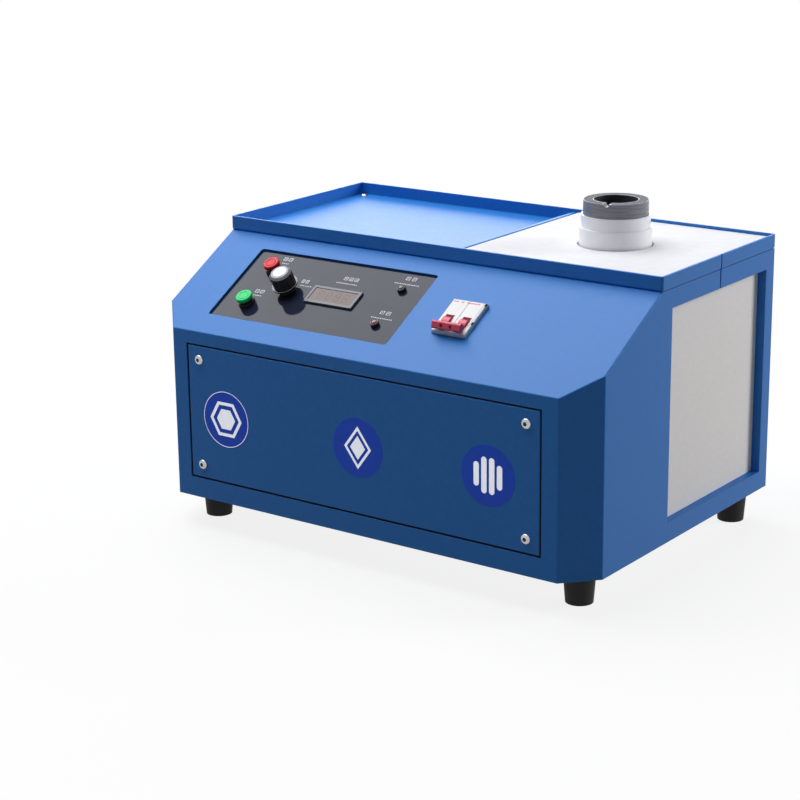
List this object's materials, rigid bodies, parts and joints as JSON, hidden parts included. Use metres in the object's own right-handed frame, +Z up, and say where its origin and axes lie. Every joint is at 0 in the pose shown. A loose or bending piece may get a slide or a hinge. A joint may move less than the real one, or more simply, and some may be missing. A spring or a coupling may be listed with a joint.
{
  "type": "induction melting furnace",
  "caption": "Table-top induction furnace: folded steel cabinet with a sloping control face, top tray, lift-out graphite crucible, knob, buttons, breaker and rear fan.",
  "frame": {"origin": "on the floor, under the middle of the machine's overall box", "axes": "+X to the right, +Y to the back, +Z up; the front with the controls faces -Y"},
  "size_m": [0.4812, 0.3616, 0.3174],
  "materials": {
    "blue_paint": "fine-textured blue powder coat",
    "steel_zinc": "zinc-plated steel",
    "screw_steel": "bright plated screws",
    "rubber_black": "moulded black rubber",
    "board_white": "pressed white insulating board",
    "board_grey": "pressed grey insulating board",
    "brick": "porous insulating brick",
    "ceramic_white": "fired white ceramic",
    "graphite": "turned graphite",
    "copper": "bare copper",
    "brass": "turned brass",
    "plate_black": "glossy black plate",
    "plastic_black": "moulded black plastic",
    "plastic_grey": "grey moulded plastic",
    "plastic_white": "moulded white plastic",
    "plastic_green": "moulded green plastic",
    "plastic_red": "moulded red plastic",
    "toggle_red": "moulded red plastic",
    "lens_smoke": "smoked window",
    "lens_dark": "dark red lens",
    "chrome": "polished chrome",
    "aluminium": "machined aluminium",
    "circuit_board": "green printed circuit board",
    "capacitor_sleeve": "shrink sleeve",
    "wound_wire": "enamelled winding"
  },
  "bodies": {
    "cabinet": {"base_plate": "steel_zinc", "board_standoffs": "brass", "breaker_body": "plastic_white", "breaker_bracket": "steel_zinc", "breaker_rail": "steel_zinc", "cabinet_shell": "blue_paint", "cable_gland": "plastic_black", "clamp_plates": "copper", "coil_leads": "copper", "control_board": "circuit_board", "control_plate": "plate_black", "crucible_cup": "ceramic_white", "earth_stud": "brass", "fan_frame": "plastic_black", "fan_guard": "chrome", "fan_screws": "screw_steel", "fibre_pad": "board_white", "foot_screws": "screw_steel", "front_panel": "blue_paint", "front_panel_screws": "screw_steel", "furnace_bricks": "brick", "furnace_lining": "ceramic_white", "heat_lens": "lens_dark", "heat_sink": "aluminium", "induction_coil": "copper", "inverter_board": "circuit_board", "lamp_bezels": "chrome", "matching_toroid": "wound_wire", "meter_lens": "lens_smoke", "partition_board": "board_grey", "potentiometer": "plastic_grey", "power_meter": "plastic_black", "power_modules": "plastic_black", "push_switches": "plastic_black", "rear_panel": "blue_paint", "rear_screws": "screw_steel", "reservoir_capacitors": "capacitor_sleeve", "resonant_capacitor": "plastic_grey", "rubber_feet": "rubber_black", "side_board": "board_grey", "top_board": "board_white", "top_tray": "blue_paint", "toroid_clamp": "steel_zinc", "tray_divider": "blue_paint", "tray_screws": "screw_steel", "water_inlet": "brass", "water_lens": "lens_dark", "water_outlet": "brass"},
    "crucible": {"crucible": "graphite"},
    "knob": {"power_knob": "plastic_black", "knob_ring": "aluminium", "knob_cap": "aluminium", "pot_shaft": "aluminium"},
    "start": {"start_button": "plastic_green", "start_plunger": "plastic_black"},
    "stop": {"stop_button": "plastic_red", "stop_plunger": "plastic_black"},
    "toggle": {"breaker_toggle": "toggle_red"},
    "rotor": {"fan_rotor": "plastic_black"}
  },
  "joints": [
    {"name": "crucible_lift", "type": "slide", "parent": "cabinet", "child": "crucible", "axis": [0, 0, 1], "range_m": [0, 0.11]},
    {"name": "knob_turn", "type": "hinge", "parent": "cabinet", "child": "knob", "pos_m": [-0.1251, -0.1144, 0.23008], "axis": [0, 0.4954, -0.8687], "range_deg": [0, 300]},
    {"name": "start_press", "type": "slide", "parent": "cabinet", "child": "start", "axis": [0, 0.4954, -0.8687], "range_m": [0, 0.0025], "stiffness_N_per_m": 350, "springref_m": -0.001},
    {"name": "stop_press", "type": "slide", "parent": "cabinet", "child": "stop", "axis": [0, 0.4954, -0.8687], "range_m": [0, 0.0025], "stiffness_N_per_m": 350, "springref_m": -0.001},
    {"name": "toggle_throw", "type": "hinge", "parent": "cabinet", "child": "toggle", "pos_m": [0.0729, -0.12417, 0.22681], "axis": [-1, 0, 0], "range_deg": [0, 100]},
    {"name": "fan_spin", "type": "hinge", "parent": "cabinet", "child": "rotor", "pos_m": [-0.13, 0.14005, 0.117], "axis": [0, 1, 0], "continuous": true}
  ]
}
